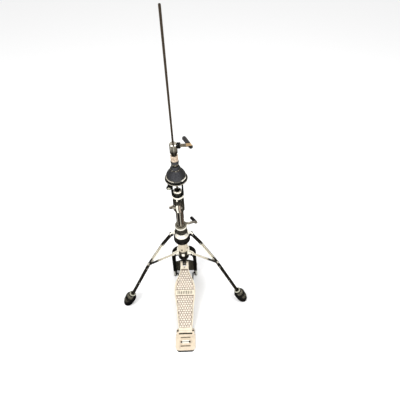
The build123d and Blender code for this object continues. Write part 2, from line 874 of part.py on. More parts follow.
pieces = {
    "frame_arch": frame_arch,
    "frame_web": frame_web,
    "frame_feet": frame_feet,
    "spur_left": spur_left,
    "spur_right": spur_right,
    "base_neck": base_neck,
    "neck_screws": neck_screws,
    "lower_leg_collar": lower_leg_collar,
    "strut_rivets": strut_rivets,
    "spring_housing": spring_housing,
    "tension_knob": tension_knob,
    "lower_tube": lower_tube,
    "spring_seat": spring_seat,
    "tension_spring": tension_spring,
    "tube_bushing": tube_bushing,
    "height_clamp": height_clamp,
    "clamp_nut": clamp_nut,
    "clamp_wing_bolt": clamp_wing_bolt,
    "radius_rods": radius_rods,
    "heel_rubber": heel_rubber,
    "heel_plate": heel_plate,
    "heel_hinge_pin": heel_hinge_pin,
    "footboard": footboard,
    "toe_pin": toe_pin,
    "link_plates": link_plates,
    "rod_clevis": rod_clevis,
    "clevis_pin": clevis_pin,
    "lower_pull_rod": lower_pull_rod,
    "spring_perch": spring_perch,
    "rod_coupler": rod_coupler,
    "upper_pull_rod": upper_pull_rod,
    "upper_tube": upper_tube,
    "rod_guide_bush": rod_guide_bush,
    "memory_lock": memory_lock,
    "tube_ring_nut": tube_ring_nut,
    "tilter_yoke": tilter_yoke,
    "tilter_screw": tilter_screw,
    "seat_hub": seat_hub,
    "seat_pins": seat_pins,
    "tilt_lever": tilt_lever,
    "seat_cup": seat_cup,
    "seat_felts": seat_felts,
    "seat_washer": seat_washer,
    "seat_sleeve": seat_sleeve,
    "clutch_body": clutch_body,
    "clutch_wing_bolt": clutch_wing_bolt,
    "clutch_lock_nuts": clutch_lock_nuts,
    "clutch_felt": clutch_felt,
    "clutch_bottom_nut": clutch_bottom_nut,
    "leg_collar": leg_collar,
    "collar_rivets": collar_rivets,
    "collar_wing_bolt": collar_wing_bolt,
    "collar_bush": collar_bush,
    "leg_left": leg_left,
    "leg_right": leg_right,
    "leg_foot_left": leg_foot_left,
    "leg_foot_right": leg_foot_right,
    "strut_left": strut(-1),
    "strut_right": strut(1),
}

os.makedirs("parts", exist_ok=True)
for name, piece in pieces.items():
    piece.part.label = name
    export_step(piece.part, f"parts/{name}.step")
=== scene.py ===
"""Looks of the two-legged hi-hat stand.

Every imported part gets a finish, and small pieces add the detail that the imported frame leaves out.
Metres: X to the right, -Y towards the player, Z up, and the origin on the floor under the pull rod.
"""

import json
import math

import bmesh
import bpy
from mathutils import Matrix, Vector


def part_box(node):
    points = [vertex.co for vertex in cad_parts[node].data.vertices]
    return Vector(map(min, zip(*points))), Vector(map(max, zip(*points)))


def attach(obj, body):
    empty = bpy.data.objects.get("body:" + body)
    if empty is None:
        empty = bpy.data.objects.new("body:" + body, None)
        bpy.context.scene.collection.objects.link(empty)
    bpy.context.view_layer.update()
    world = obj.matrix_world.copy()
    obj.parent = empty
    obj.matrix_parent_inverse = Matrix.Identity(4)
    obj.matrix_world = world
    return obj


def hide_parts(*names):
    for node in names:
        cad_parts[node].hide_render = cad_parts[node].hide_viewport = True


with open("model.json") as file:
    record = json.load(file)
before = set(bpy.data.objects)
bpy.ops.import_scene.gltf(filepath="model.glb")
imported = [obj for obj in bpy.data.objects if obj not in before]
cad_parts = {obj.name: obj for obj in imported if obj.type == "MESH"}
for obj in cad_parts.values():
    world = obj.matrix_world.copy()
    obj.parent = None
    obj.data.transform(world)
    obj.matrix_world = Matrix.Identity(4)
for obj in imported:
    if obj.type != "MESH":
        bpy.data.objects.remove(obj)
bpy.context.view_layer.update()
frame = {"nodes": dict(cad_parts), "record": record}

# Camera: (x, y, z) in metres, then heading, downward pitch and roll in radians
CAMERA_PLACE = Vector((0.0624, -0.6934, 1.3361))
CAMERA_HEADING = 0.0166
CAMERA_PITCH = 0.8494
CAMERA_ROLL = -0.0170
CAMERA_LENS = 27.53

# Leg plane: (distance from the stand's axis, height)
LEG_SPLAY = math.radians(64.5)
LEG_KNEE = Vector((0.077, 0.341))
LEG_JUNCTION = Vector((0.153, 0.237))
LEG_END = Vector((0.267, 0.0405))
BOOT_CENTRE = Vector((0.274, 0.0315))
BOOT_HALF_LENGTH = 0.040
BOOT_RADIUS = 0.022
STRIP_OUTER = 0.0050
LEGS = ((-1, "left_leg"), (1, "right_leg"))

# Leg rivets: how far the top one is from the knee, and how far others are from the junction
KNEE_RIVET = 0.006
UPPER_RIVET = 0.024
LOWER_RIVET = 0.026
SHANK_RIVET = 0.12

# Footboard: hinge, toe and surface levels; half widths at distances from the hinge
HINGE = Vector((0.0, -0.2586, 0.0125))
TOE = Vector((0.0, -0.003, 0.125))
FIELD_LEVEL = 0.004
RIM_LEVEL = 0.0065
RIM_WIDTH = 0.004
BOARD_SIDE = ((0.005, 0.028), (0.038, 0.032), (0.096, 0.0365), (0.163, 0.045), (0.206, 0.0375),
              (0.240, 0.0215), (0.264, 0.0177))
FIELD_REACH = (0.015, 0.256)
FIELD_MARGIN = 0.0012
PLAIN_BAND = (0.1450, 0.1670)
TOE_SCREW_REACH = 0.262

# Studs of the footboard and their tips with painted highlights, as (radius, rise), and how far they keep
# from the plain band
STUD_PITCH = 0.0104
STUD_PROFILE = ((0.0053, 0.0), (0.0053, 0.0008), (0.0047, 0.0013))
TIP_PROFILE = ((0.0028, 0.0010), (0.0027, 0.0017), (0.0018, 0.0022))
BAND_CLEARANCE = 0.0042

# Ribs on the plain band: from one to the next, and half their length and width
RIB_PITCH = 0.0074
RIB_HALF_SIZE = (0.0068, 0.0014)

# Heel plate; half sizes are half the length and half the width of bars with round ends
WINDOW_Y = -0.2995
WINDOW_HALF_SIZE = (0.0200, 0.0034)
WINDOW_FLOOR = 0.009
RIDGES_Y = (-0.283, -0.316)
RIDGE_TOP = 0.0125
INLAY_HALF_SIZE = (0.0150, 0.0021)
INLAY_OFFSET = 0.0036
GRIP_HALF_SIZE = (0.0205, 0.0018)
HEEL_SCREW_X = 0.0168
HINGE_SCREW_X = 0.0318
HINGE_SCREW_SINK = 0.0006

# Wing bolts: the heights of their shafts, where these start across the stand, and half their thickness
CLUTCH_BOLT_HEIGHT = 0.7855
COLLAR_BOLT_HEIGHT = 0.4050
SHAFT_START = -0.06
SHAFT_HALF = 0.0058

# Zones of the finishes, each from low to high along one axis; those from the housing's shoulder to the
# knuckle's streak hold painted highlights and painted reflections
HOUSING_SHOULDER = (0.3515, 0.3650)
HOUSING_FOOT = (0.2950, 0.3190)
COLLAR_TOP = (0.4090, 0.4200)
COLLAR_LIP = (0.4015, 0.4090)
COLLAR_EARS = (0.372, 0.400)
COLLAR_EAR_REACH = (0.024, 0.060)
YOKE_FOOT = (0.5730, 0.5825)
RING_NUT_TOP = (0.5970, 0.6010)
LOCK_STREAK = (-0.0060, -0.0012)
CLAMP_LEFT_STREAK = (-0.0074, -0.0012)
CLAMP_RIGHT_STREAK = (0.0012, 0.0074)
ARM_ENDS = (0.010, 0.050)
ARM_REACH = (0.0470, 0.0700)
RIM_LEFT = (-0.0400, -0.0060)
RIM_RIGHT = (0.0180, 0.0310)
KNUCKLE_REACH = (0.0170, 0.0600)
KNUCKLE_STREAK = (-0.0060, 0.0060)
LEG_BRIGHT_STRETCH = (0.255, 0.345)
STRUT_OUTER_END = (0.080, 0.140)

# Colour sockets of the mix node, by number because its other kinds have sockets of the same names
MIX_FIRST, MIX_SECOND, MIX_RESULT = 6, 7, 2


# --- Materials ------------------------------------------------------------------------------------

def fill_ramp(node, stops):
    """Give a colour ramp its (position, colour) stops; a single number stands for a grey."""
    colors = [(place, tint if isinstance(tint, tuple) else (tint, tint, tint)) for place, tint in stops]
    first, last = node.color_ramp.elements
    first.position, first.color = colors[0][0], (*colors[0][1], 1.0)
    last.position, last.color = colors[-1][0], (*colors[-1][1], 1.0)
    for position, color in colors[1:-1]:
        node.color_ramp.elements.new(position).color = (*color, 1.0)


class Finish:
    """A node material with a Principled shader and short calls for the usual textures."""

    def __init__(self, name, color, metallic=0.0, roughness=0.5, **sockets):
        self.material = bpy.data.materials.new(name)
        self.material.use_nodes = True
        self.nodes = self.material.node_tree.nodes
        self.links = self.material.node_tree.links
        self.shader = self.nodes["Principled BSDF"]
        self.shader.inputs["Base Color"].default_value = (*color, 1.0)
        self.shader.inputs["Metallic"].default_value = metallic
        self.shader.inputs["Roughness"].default_value = roughness
        for socket, value in sockets.items():
            self.shader.inputs[socket.replace("_", " ")].default_value = value
        self.coordinates = self.nodes.new("ShaderNodeTexCoord")
        self.place = self.coordinates.outputs["Object"]

    def noise(self, scale, detail=4.0, stretch=(1.0, 1.0, 1.0)):
        """Noise with a number of features per metre, drawn out along an axis by a small stretch value."""
        mapping = self.nodes.new("ShaderNodeMapping")
        mapping.inputs["Scale"].default_value = stretch
        self.links.new(self.place, mapping.inputs["Vector"])
        texture = self.nodes.new("ShaderNodeTexNoise")
        texture.inputs["Scale"].default_value = scale
        texture.inputs["Detail"].default_value = detail
        self.links.new(mapping.outputs["Vector"], texture.inputs["Vector"])
        return texture.outputs["Fac"]

    def along(self, axis, start, end, normal=False, absolute=False):
        """How far a surface point (or its normal) lies from start to end along an axis, from 0 to 1."""
        source = self.coordinates.outputs["Normal"] if normal else self.place
        split = self.nodes.new("ShaderNodeSeparateXYZ")
        self.links.new(source, split.inputs["Vector"])
        value = split.outputs[axis]
        if absolute:
            fold = self.nodes.new("ShaderNodeMath")
            fold.operation = "ABSOLUTE"
            self.links.new(value, fold.inputs[0])
            value = fold.outputs["Value"]
        reach = self.nodes.new("ShaderNodeMapRange")
        reach.inputs["From Min"].default_value = start
        reach.inputs["From Max"].default_value = end
        self.links.new(value, reach.inputs["Value"])
        return reach.outputs["Result"]

    def band(self, axis, low, high, **source):
        """A mask that is 1 between two values along an axis."""
        place = self.along(axis, low, high, **source)
        return self.ramp(place, (0.0, 0.0), (0.04, 1.0), (0.96, 1.0), (1.0, 0.0))

    def times(self, first, second):
        """Two masks multiplied."""
        node = self.nodes.new("ShaderNodeMath")
        node.operation = "MULTIPLY"
        self.links.new(first, node.inputs[0])
        self.links.new(second, node.inputs[1])
        return node.outputs["Value"]

    def ramp(self, source, *stops):
        """A value turned into a colour by (position, colour) stops."""
        node = self.nodes.new("ShaderNodeValToRGB")
        fill_ramp(node, stops)
        self.links.new(source, node.inputs["Fac"])
        return node.outputs["Color"]

    def mix(self, mask, without, within):
        """One colour where the mask is 0 and another where it is 1."""
        node = self.nodes.new("ShaderNodeMix")
        node.data_type = "RGBA"
        self.links.new(mask, node.inputs["Factor"])
        self.links.new(without, node.inputs[MIX_FIRST])
        self.links.new(within, node.inputs[MIX_SECOND])
        return node.outputs[MIX_RESULT]

    def tinted(self, first, second):
        """Two colours multiplied."""
        node = self.nodes.new("ShaderNodeMix")
        node.data_type = "RGBA"
        node.blend_type = "MULTIPLY"
        node.inputs["Factor"].default_value = 1.0
        self.links.new(first, node.inputs[MIX_FIRST])
        self.links.new(second, node.inputs[MIX_SECOND])
        return node.outputs[MIX_RESULT]

    def spread(self, source, low, high):
        """Map noise onto a range of values."""
        node = self.nodes.new("ShaderNodeMapRange")
        node.inputs["From Min"].default_value = 0.3
        node.inputs["From Max"].default_value = 0.7
        node.inputs["To Min"].default_value = low
        node.inputs["To Max"].default_value = high
        self.links.new(source, node.inputs["Value"])
        return node.outputs["Result"]

    def color_from(self, output):
        """Take the colour from a node."""
        self.links.new(output, self.shader.inputs["Base Color"])
        return self

    def metallic_from(self, output):
        """Take the metallic value from a node."""
        self.links.new(output, self.shader.inputs["Metallic"])
        return self

    def roughness_from(self, output):
        """Take the roughness from a node."""
        self.links.new(output, self.shader.inputs["Roughness"])
        return self

    def bump(self, output, strength, distance, edge=0.0):
        """Surface grain, over edges that read as slightly rounded."""
        node = self.nodes.new("ShaderNodeBump")
        node.inputs["Strength"].default_value = strength
        node.inputs["Distance"].default_value = distance
        self.links.new(output, node.inputs["Height"])
        if edge:
            rounding = self.nodes.new("ShaderNodeBevel")
            rounding.samples = 4
            rounding.inputs["Radius"].default_value = edge
            self.links.new(rounding.outputs["Normal"], node.inputs["Normal"])
        self.links.new(node.outputs["Normal"], self.shader.inputs["Normal"])
        return self


def shaded(color, share):
    """A colour made darker or lighter by a share."""
    return tuple(share * part for part in color)


def dark(name, color, roughness, grain=1500, depth=0.0003, specular=0.22):
    """Black paint, plastic or rubber: a little lighter where it is rubbed, with a fine grain."""
    finish = Finish(name, color, 0.0, roughness, Specular_IOR_Level=specular)
    rubbed = finish.ramp(finish.noise(110, 6), (0.32, shaded(color, 0.6)), (0.72, shaded(color, 1.9)))
    finish.color_from(rubbed)
    finish.roughness_from(finish.spread(finish.noise(220), roughness * 0.8, roughness * 1.25))
    return finish.bump(finish.noise(grain, 3), 0.18, depth, 0.0008)


def polished(name, color, roughness, edge=0.0006):
    """Plating with faint smears and pits."""
    finish = Finish(name, color, 1.0, roughness)
    finish.roughness_from(finish.spread(finish.noise(60, 5, (1, 1, 0.3)), roughness * 0.6, roughness * 1.9))
    finish.color_from(finish.ramp(finish.noise(140, 6), (0.35, shaded(color, 0.82)), (0.6, color)))
    return finish.bump(finish.noise(900, 2), 0.03, 0.0002, edge)


def cast(name, color, metallic, roughness):
    """Cast metal, bare or painted: cloudy, with a sandy grain."""
    finish = Finish(name, color, metallic, roughness)
    stops = ((0.3, shaded(color, 0.84)), (0.5, color), (0.75, shaded(color, 1.06)))
    finish.color_from(finish.ramp(finish.noise(70, 6), *stops))
    finish.roughness_from(finish.spread(finish.noise(260), roughness * 0.8, roughness * 1.3))
    return finish.bump(finish.noise(1600, 4), 0.22, 0.0004, 0.0010)


def zone(axis, span):
    """The band of a part between two places along an axis."""
    return axis, *span, False


def facing(axis, low, high):
    """The surfaces of a part whose normal lies between two values along an axis."""
    return axis, low, high, True


FACING_PEDAL = facing("Y", -1.1, -0.4)


def both_sides(color, span, *bands):
    """Two marks with mirrored bands along X, the right one first."""
    low, high = span
    return (color, zone("X", (low, high)), *bands), (color, zone("X", (-high, -low)), *bands)


def marked(name, base, roughness, *marks):
    """Dark worn plating whose paler zones are painted highlights and painted reflections; a mark is a
    colour and the bands that bound it.
    """
    finish = Finish(name, base, 0.0, roughness, Specular_IOR_Level=0.08)
    stops = ((0.35, shaded(base, 0.4)), (0.55, base), (0.75, shaded(base, 2.2)))
    tint = finish.ramp(finish.noise(130, 6), *stops)
    for color, *bands in marks:
        masks = [finish.band(axis, low, high, normal=normal) for axis, low, high, normal in bands]
        mask = masks[0]
        for other in masks[1:]:
            mask = finish.times(mask, other)
        # Each mark's colour, mottled by noise, is painted light: pale marks are painted highlights, tinted
        # ones painted reflections
        mottled = finish.ramp(finish.noise(150, 4), (0.3, shaded(color, 0.80)), (0.55, color))
        tint = finish.mix(mask, tint, mottled)
    finish.color_from(tint)
    finish.roughness_from(finish.spread(finish.noise(200), roughness * 0.7, roughness * 1.5))
    return finish.bump(finish.noise(900, 3), 0.05, 0.0002, 0.0006)


def banded(name, axis, limits, stops, metallic_stops, roughness=0.16, shaft=None):
    """A finish that changes along one axis, such as a wing bolt with a band of painted amber highlight.

    A shaft is (how far out it goes, its height, its colour), and keeps that one colour.
    """
    finish = Finish(name, (0.5, 0.5, 0.5), 1.0, roughness)
    place = finish.along(axis, *limits)
    tints = finish.ramp(place, *stops)
    if shaft:
        reach, level, shade = shaft
        plain = finish.ramp(place, (0.0, shade), (1.0, shade))
        across = finish.band("X", SHAFT_START, reach)
        upright = finish.band("Z", level - SHAFT_HALF, level + SHAFT_HALF)
        tints = finish.mix(finish.times(across, upright), tints, plain)
    mottled = finish.ramp(finish.noise(260, 6), (0.35, 0.55), (0.65, 1.0))
    finish.color_from(finish.tinted(tints, mottled))
    finish.metallic_from(finish.ramp(place, *metallic_stops))
    finish.roughness_from(finish.spread(finish.noise(180), roughness * 0.7, roughness * 1.8))
    return finish.bump(finish.noise(900, 3), 0.05, 0.0002, 0.0006)


def boot_finish():
    """Black rubber boots with a mottled painted highlight on their upward faces."""
    finish = Finish("boot", (0.02, 0.02, 0.02), 0.0, 0.5, Specular_IOR_Level=0.15)
    black = finish.ramp(finish.noise(220, 4), (0.3, 0.002), (0.8, 0.005))
    # Painted highlight on the faces that look upward
    top_highlight = finish.ramp(finish.noise(230, 5), (0.35, (0.016, 0.015, 0.010)),
                       (0.50, (0.070, 0.064, 0.046)), (0.68, (0.20, 0.18, 0.135)))
    finish.color_from(finish.mix(finish.along("Z", 0.35, 0.60, normal=True), black, top_highlight))
    finish.roughness_from(finish.spread(finish.noise(220), 0.4, 0.6))
    return finish.bump(finish.noise(1800, 3), 0.18, 0.0004, 0.0008)


def leg_finish():
    """Black legs whose broad faces are pale and a little metallic between the knee and the strut's rivet.
    """
    finish = Finish("bright_faced_leg", (0.01, 0.01, 0.01), 0.0, 0.3, Specular_IOR_Level=0.10)
    stops = ((0.05, 0.0), (0.09, 1.0), (0.86, 1.0), (0.90, 0.0))
    stretch = finish.ramp(finish.along("Z", *LEG_BRIGHT_STRETCH), *stops)
    level = finish.along("Z", 0.0, 1.0, normal=True, absolute=True)
    faces = finish.ramp(level, (0.20, 1.0), (0.35, 0.0))
    bright = finish.times(stretch, faces)
    paint = finish.ramp(finish.noise(110, 6), (0.35, 0.002), (0.7, (0.020, 0.017, 0.011)))
    pale_tone = finish.ramp(finish.noise(330, 3), (0.34, (0.20, 0.17, 0.12)), (0.42, (0.86, 0.81, 0.68)),
                        (0.75, (0.97, 0.94, 0.83)))
    finish.color_from(finish.mix(bright, paint, pale_tone))
    finish.metallic_from(finish.ramp(bright, (0.0, 0.0), (1.0, 0.12)))
    finish.roughness_from(finish.spread(finish.noise(220), 0.22, 0.45))
    return finish.bump(finish.noise(1500, 2), 0.1, 0.0003, 0.0006)


def strut_finish():
    """Bright struts with dark outer ends."""
    finish = Finish("strut_steel", (0.6, 0.6, 0.6), 0.25, 0.3)
    outward = finish.along("X", *STRUT_OUTER_END, absolute=True)
    finish.color_from(finish.ramp(outward, (0.0, (0.60, 0.555, 0.45)), (0.30, (0.45, 0.41, 0.32)),
                                  (0.42, (0.012, 0.012, 0.012)), (0.86, (0.012, 0.012, 0.012)),
                                  (0.92, (0.75, 0.70, 0.60))))
    finish.roughness_from(finish.spread(finish.noise(200), 0.2, 0.4))
    return finish.bump(finish.noise(900, 3), 0.06, 0.0002, 0.0006)


def felt_finish():
    """Dark grey felt, with painted shade making it blacker where it faces sideways."""
    finish = Finish("dark_felt", (0.03, 0.03, 0.038), 0.0, 0.95,
                    Sheen_Weight=0.10, Sheen_Roughness=0.6, Specular_IOR_Level=0.1)
    pile = finish.ramp(finish.noise(420, 8), (0.3, (0.016, 0.016, 0.019)), (0.55, (0.045, 0.045, 0.050)),
                       (0.8, (0.095, 0.095, 0.100)))
    # Painted shade on the faces that look sideways
    side_shade = finish.ramp(finish.noise(300, 6), (0.3, 0.003), (0.8, 0.008))
    sideways = finish.along("X", 0.30, 0.80, normal=True, absolute=True)
    sides = finish.ramp(sideways, (0.0, 0.0), (1.0, 1.0))
    finish.color_from(finish.mix(sides, pile, side_shade))
    return finish.bump(finish.noise(2400, 6), 0.7, 0.0006)


def node_height(name):
    """A node's lowest and highest level."""
    low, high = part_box(name)
    return low[2], high[2]


# Colours of painted highlights in the finishes of metal parts
PAINTED_HIGHLIGHT = (0.86, 0.82, 0.71)
ARM_END_HIGHLIGHT = (0.50, 0.50, 0.45)


def build_finishes():
    """Every finish by name: first those of the record's slots, then those of single parts."""
    chrome_color = (0.72, 0.70, 0.66)
    grey = (0.09, 0.09, 0.10)
    black = (0.008, 0.008, 0.009)
    amber_highlight = (0.95, 0.66, 0.38)
    finishes = {
        "black_paint": dark("black_paint", (0.002, 0.002, 0.0018), 0.30, specular=0.05),
        "black_rubber": dark("black_rubber", (0.004, 0.004, 0.004), 0.6, 1800, 0.0004, specular=0.06),
        "black_plastic": dark("black_plastic", (0.003, 0.003, 0.003), 0.24, specular=0.12),
        "chrome": polished("chrome", chrome_color, 0.07),
        "zinc_steel": polished("zinc_steel", (0.46, 0.44, 0.40), 0.22),
        "rod_steel": polished("rod_steel", (0.075, 0.060, 0.050), 0.14),
        "cast_aluminium": cast("cast_aluminium", (0.72, 0.645, 0.515), 0.12, 0.48),
        "heel_metal": cast("heel_metal", (0.69, 0.585, 0.45), 0.12, 0.48),
        "dark_felt": felt_finish(),
        "tread": cast("tread", (0.60, 0.505, 0.42), 0.10, 0.5),
        "tread_floor": cast("tread_floor", (0.20, 0.155, 0.115), 0.10, 0.5),
        "tread_highlight_tip": cast("tread_highlight_tip", (0.88, 0.83, 0.72), 0.05, 0.4),
        "rib": dark("rib", (0.022, 0.019, 0.013), 0.5, specular=0.1),
        "window": dark("window", (0.010, 0.009, 0.007), 0.5, specular=0.1),
        "inlay": cast("inlay", (0.97, 0.94, 0.84), 0.05, 0.35),
        "grip": dark("grip", (0.11, 0.09, 0.06), 0.6),
        "web_paint": dark("web_paint", (0.050, 0.046, 0.032), 0.36),
        "foot_rubber": dark("foot_rubber", (0.20, 0.20, 0.19), 0.6),
        "warm_nut": cast("warm_nut", (0.93, 0.76, 0.60), 0.55, 0.25),
        "cream": cast("cream", (0.42, 0.41, 0.32), 0.0, 0.5),
        "boot": boot_finish(),
        # The marked finishes below carry painted highlights and painted reflections in their zones
        "housing": marked("housing", (0.010, 0.010, 0.009), 0.22,
                          (PAINTED_HIGHLIGHT, zone("Z", HOUSING_SHOULDER), facing("X", -0.90, 0.90)),
                          ((0.62, 0.55, 0.40), zone("Z", HOUSING_FOOT))),
        "collar": marked("collar", (0.035, 0.033, 0.025), 0.25,
                         ((0.16, 0.145, 0.11), zone("Z", COLLAR_TOP)),
                         (PAINTED_HIGHLIGHT, zone("Z", COLLAR_LIP), facing("Z", -0.6, 0.85)),
                         *both_sides(PAINTED_HIGHLIGHT, COLLAR_EAR_REACH, zone("Z", COLLAR_EARS))),
        "yoke": marked("yoke", (0.008, 0.008, 0.007), 0.25,
                       (PAINTED_HIGHLIGHT, zone("Z", YOKE_FOOT), facing("Z", -0.6, 0.6), facing("Y", -1.1, 0.1))),
        "lock": marked("lock", (0.012, 0.012, 0.009), 0.2,
                       (PAINTED_HIGHLIGHT, zone("X", LOCK_STREAK), FACING_PEDAL)),
        "ring_nut": marked("ring_nut", (0.040, 0.038, 0.028), 0.2, (PAINTED_HIGHLIGHT, zone("Z", RING_NUT_TOP))),
        "clamp": marked("clamp", (0.030, 0.027, 0.020), 0.22,
                        (PAINTED_HIGHLIGHT, zone("X", CLAMP_LEFT_STREAK), FACING_PEDAL),
                        ((0.30, 0.24, 0.19), zone("X", CLAMP_RIGHT_STREAK), FACING_PEDAL)),
        "arch": marked("arch", (0.002, 0.002, 0.0015), 0.35,
                       *both_sides(ARM_END_HIGHLIGHT, ARM_REACH, zone("Z", ARM_ENDS))),
        "cup_rim": marked("cup_rim", (0.10, 0.095, 0.085), 0.2,
                          ((0.46, 0.42, 0.35), zone("X", RIM_LEFT)),
                          (PAINTED_HIGHLIGHT, zone("X", RIM_RIGHT))),
        "neck": cast("neck", (0.70, 0.62, 0.48), 0.2, 0.35),
        "knuckle": marked("knuckle", (0.040, 0.036, 0.026), 0.25,
                          *both_sides(PAINTED_HIGHLIGHT, KNUCKLE_REACH),
                          (PAINTED_HIGHLIGHT, zone("X", KNUCKLE_STREAK), FACING_PEDAL)),
        "leg": leg_finish(),
        "strut": strut_finish(),
        # The clutch wing's amber band is a painted highlight
        "clutch_wing": banded("clutch_wing", "Z", node_height("clutch_wing_bolt"),
                              ((0.25, black), (0.29, amber_highlight), (0.45, amber_highlight), (0.50, grey), (0.9, grey)),
                              ((0.25, 0.2), (0.29, 0.8)),
                              shaft=(0.0400, CLUTCH_BOLT_HEIGHT, (0.26, 0.23, 0.18))),
        "collar_wing": banded("collar_wing", "Z", node_height("collar_wing_bolt"),
                              ((0.38, chrome_color), (0.48, black), (0.9, black)),
                              ((0.38, 1.0), (0.48, 0.1)),
                              shaft=(0.0420, COLLAR_BOLT_HEIGHT, (0.80, 0.77, 0.70))),
        "clutch_steel": banded("clutch_steel", "Z", node_height("clutch_body"),
                               ((0.50, (0.10, 0.095, 0.08)), (0.66, (0.12, 0.11, 0.10)),
                                (0.76, chrome_color)),
                               ((0.4, 1.0), (0.8, 1.0)), 0.08),
    }
    return {name: finish.material for name, finish in finishes.items()}


PART_FINISHES = {
    "heel_plate": "heel_metal",
    "leg_foot_left": "boot",
    "leg_foot_right": "boot",
    "frame_arch": "arch",
    "base_neck": "neck",
    "lower_leg_collar": "knuckle",
    "spring_housing": "housing",
    "leg_collar": "collar",
    "tilter_yoke": "yoke",
    "memory_lock": "lock",
    "tube_ring_nut": "ring_nut",
    "height_clamp": "clamp",
    "collar_rivets": "black_plastic",
    "strut_rivets": "black_plastic",
    "frame_web": "web_paint",
    "frame_feet": "foot_rubber",
    "leg_left": "leg",
    "leg_right": "leg",
    "strut_left": "strut",
    "strut_right": "strut",
    "clutch_wing_bolt": "clutch_wing",
    "collar_wing_bolt": "collar_wing",
    "clutch_body": "clutch_steel",
    "clutch_lock_nuts": "warm_nut",
}


def paint_frame(finishes):
    """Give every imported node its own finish, or the finish of its material slot."""
    for part in frame["record"]["subparts"]:
        mesh = frame["nodes"][part["node"]].data
        mesh.materials.clear()
        mesh.materials.append(finishes[PART_FINISHES.get(part["node"], part["material_slot"])])


# --- Pieces ---------------------------------------------------------------------------------------

def add_piece(name, mesh, material, body, slot, smooth=40.0):
    """Put a mesh into the scene as a piece that rides on a body."""
    piece = bpy.data.objects.new(name, mesh)
    bpy.context.collection.objects.link(piece)
    mesh.materials.append(material)
    mesh.shade_smooth()
    mesh.set_sharp_from_angle(angle=math.radians(smooth))
    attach(piece, body)
    return piece


def finish_mesh(made, name):
    """The mesh of a bmesh, which is freed."""
    mesh = bpy.data.meshes.new(name)
    made.to_mesh(mesh)
    made.free()
    return mesh


def lathe(name, profile, segments=64, place=None):
    """A closed mesh turned from (radius, height) points; a radius of 0 closes an end."""
    made = bmesh.new()
    rings = []
    for radius, height in profile:
        if radius == 0:
            rings.append([made.verts.new((0, 0, height))])
            continue
        turns = [2 * math.pi * step / segments for step in range(segments)]
        rings.append([made.verts.new((radius * math.cos(turn), radius * math.sin(turn), height))
                      for turn in turns])
    pairs = list(zip(rings, rings[1:]))
    if profile[0][0] and profile[-1][0]:
        pairs.append((rings[-1], rings[0]))
    for lower, upper in pairs:
        for step in range(segments):
            following = (step + 1) % segments
            if len(lower) == 1:
                corners = (lower[0], upper[following], upper[step])
            elif len(upper) == 1:
                corners = (lower[step], lower[following], upper[0])
            else:
                corners = (lower[step], lower[following], upper[following], upper[step])
            made.faces.new(corners)
    bmesh.ops.recalc_face_normals(made, faces=made.faces)
    if place is not None:
        made.transform(place)
    return finish_mesh(made, name)


def join_meshes(name, meshes):
    """One mesh from several."""
    made = bmesh.new()
    for mesh in meshes:
        made.from_mesh(mesh)
    return finish_mesh(made, name)


def stand_on(point, normal):
    """The placing of a turned piece: its foot at a point, its axis along a normal."""
    return Matrix.Translation(point) @ Vector((0, 0, 1)).rotation_difference(normal).to_matrix().to_4x4()


def leg_point(side, spot):
    """The place of a point (distance from the axis, height) of one leg's plane."""
    return Vector((side * math.sin(LEG_SPLAY) * spot.x, -math.cos(LEG_SPLAY) * spot.x, spot.y))


def leg_normal(side):
    """The direction square to one leg's plane."""
    return Vector((math.cos(LEG_SPLAY), side * math.sin(LEG_SPLAY), 0))


RIVET = ((0.0045, 0.0), (0.0045, 0.0004), (0.0040, 0.0010), (0.0028, 0.0016), (0.0013, 0.0019),
         (0, 0.0020))


def leg_rivets(finishes):
    """Domed rivet heads on the outer faces of both strips of each leg."""
    to_knee = (LEG_KNEE - LEG_JUNCTION).normalized()
    to_foot = (LEG_END - LEG_JUNCTION).normalized()
    spots = (LEG_KNEE - KNEE_RIVET * to_knee, LEG_JUNCTION + UPPER_RIVET * to_knee, LEG_JUNCTION,
             LEG_JUNCTION + LOWER_RIVET * to_foot, LEG_JUNCTION + SHANK_RIVET * to_foot)
    for side, body in LEGS:
        heads = []
        for spot in spots:
            for way in (-1, 1):
                normal = way * leg_normal(side)
                place = stand_on(leg_point(side, spot) + STRIP_OUTER * normal, normal)
                heads.append(lathe("head", RIVET, 20, place))
        mesh = join_meshes("rivets", heads)
        add_piece(f"{body}_rivets", mesh, finishes["zinc_steel"], body, "zinc_steel")


def boot_place(side, distance):
    """The placing of a turned piece on a rubber boot: a distance up the leg from the boot's centre."""
    run = (LEG_END - LEG_JUNCTION).normalized()
    upward = leg_point(side, Vector((0, 0)) - run)
    return stand_on(leg_point(side, BOOT_CENTRE - distance * run), upward.normalized())


def boot_details(finishes):
    """The lip round each boot's mouth, the pale collar in it whose paleness is a painted highlight, and the
    grip rings round its waist.
    """
    mouth = BOOT_HALF_LENGTH - 0.003
    lip = ((0.0125, mouth - 0.002), (0.0150, mouth - 0.001), (0.0155, mouth + 0.001),
           (0.0148, mouth + 0.003), (0.0128, mouth + 0.0035), (0.0110, mouth + 0.002))
    collar = ((0.0095, mouth + 0.001), (0.0130, mouth + 0.001), (0.0134, mouth + 0.004),
              (0.0118, mouth + 0.0065), (0.0095, mouth + 0.0065))
    for side, body in LEGS:
        place = boot_place(side, 0.0)
        rings = [lathe("lip", lip, 48, place)]
        for level in (0.012, 0.017, 0.022):
            girth = BOOT_RADIUS + 0.0002
            band = ((girth - 0.0016, level - 0.0012), (girth, level - 0.0008), (girth + 0.0005, level),
                    (girth, level + 0.0008), (girth - 0.0016, level + 0.0012))
            rings.append(lathe("ring", band, 48, place))
        add_piece(f"{body}_boot_rings", join_meshes("boot_rings", rings), finishes["black_rubber"], body,
                  "black_rubber")
        # The collar's pale colour is a painted highlight at the boot's mouth
        add_piece(f"{body}_boot_highlight_collar", lathe("collar", collar, 48, place), finishes["cream"], body,
                  "zinc_steel")


